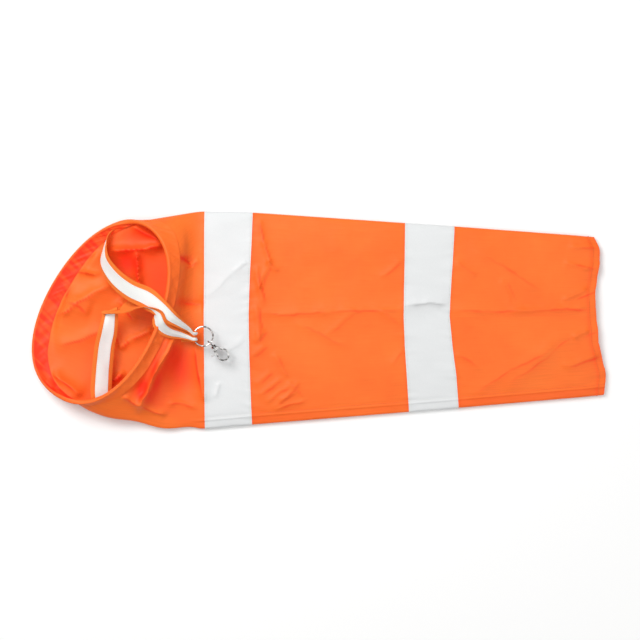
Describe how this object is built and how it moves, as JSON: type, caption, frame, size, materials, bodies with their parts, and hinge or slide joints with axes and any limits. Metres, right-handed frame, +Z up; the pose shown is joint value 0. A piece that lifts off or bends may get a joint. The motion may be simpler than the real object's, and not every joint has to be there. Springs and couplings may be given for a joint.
{
  "type": "windsock",
  "caption": "Tapered fabric windsock lying flat, with reflective bands, a sprung wire hoop, two taped bridle straps, a split ring and a swivel clasp.",
  "frame": {"origin": "bottom centre of the bounding box of the sock as it lies flat: the ground plane under the middle of the tube", "axes": "+X from the mouth to the open tail, +Z up from the ground it lies on, +Y to the left of +X"},
  "size_m": [0.7999, 0.3054, 0.0596],
  "materials": {
    "sock_cloth": "thin orange woven polyester, slightly glossy, creased",
    "reflective_cloth": "matte silver-white reflective cloth",
    "strap_webbing": "orange woven strap, matte",
    "reflective_tape": "near-white reflective tape, satin",
    "spring_wire": "drawn spring steel",
    "nickel": "bright nickel plate"
  },
  "bodies": {
    "sock": {"mouth_panel": "sock_cloth", "front_reflective_band": "reflective_cloth", "middle_panel": "sock_cloth", "rear_reflective_band": "reflective_cloth", "tail_panel": "sock_cloth", "tail_hem": "sock_cloth", "mouth_hem_casing": "sock_cloth", "hoop_wire": "spring_wire", "strap_a_inner": "strap_webbing", "tape_a_inner": "reflective_tape", "strap_b_inner": "strap_webbing", "tape_b_inner": "reflective_tape"},
    "bridle_end": {"strap_a_outer": "strap_webbing", "tape_a_outer": "reflective_tape", "strap_b_outer": "strap_webbing", "tape_b_outer": "reflective_tape"},
    "ring": {"split_ring": "nickel"},
    "swivel": {"swivel_eye": "nickel"},
    "hook": {"hook_body": "nickel", "trigger_pin": "nickel"},
    "trigger": {"trigger_lever": "nickel"}
  },
  "joints": [
    {"name": "bridle_lift", "type": "hinge", "parent": "sock", "child": "bridle_end", "pos_m": [-0.2129, 0.01353, 0.05965], "axis": [-0.2733, -0.9619, 0], "range_deg": [0, 150]},
    {"name": "ring_swing", "type": "hinge", "parent": "bridle_end", "child": "ring", "pos_m": [-0.17376, -0.024, 0.027], "axis": [0, -1, 0], "range_deg": [0, 75]},
    {"name": "clasp_swing", "type": "hinge", "parent": "ring", "child": "swivel", "pos_m": [-0.15105, -0.0334, 0.027], "axis": [-0.7071, -0.7071, 0], "range_deg": [0, 90]},
    {"name": "swivel_spin", "type": "hinge", "parent": "swivel", "child": "hook", "pos_m": [-0.15105, -0.0334, 0.027], "axis": [0.7071, -0.7071, 0], "continuous": true},
    {"name": "trigger_press", "type": "hinge", "parent": "hook", "child": "trigger", "pos_m": [-0.1437, -0.04444, 0.027], "axis": [0, 0, 1], "range_deg": [0, 26], "stiffness_Nm_per_rad": 0.03, "springref_deg": -20.05}
  ]
}
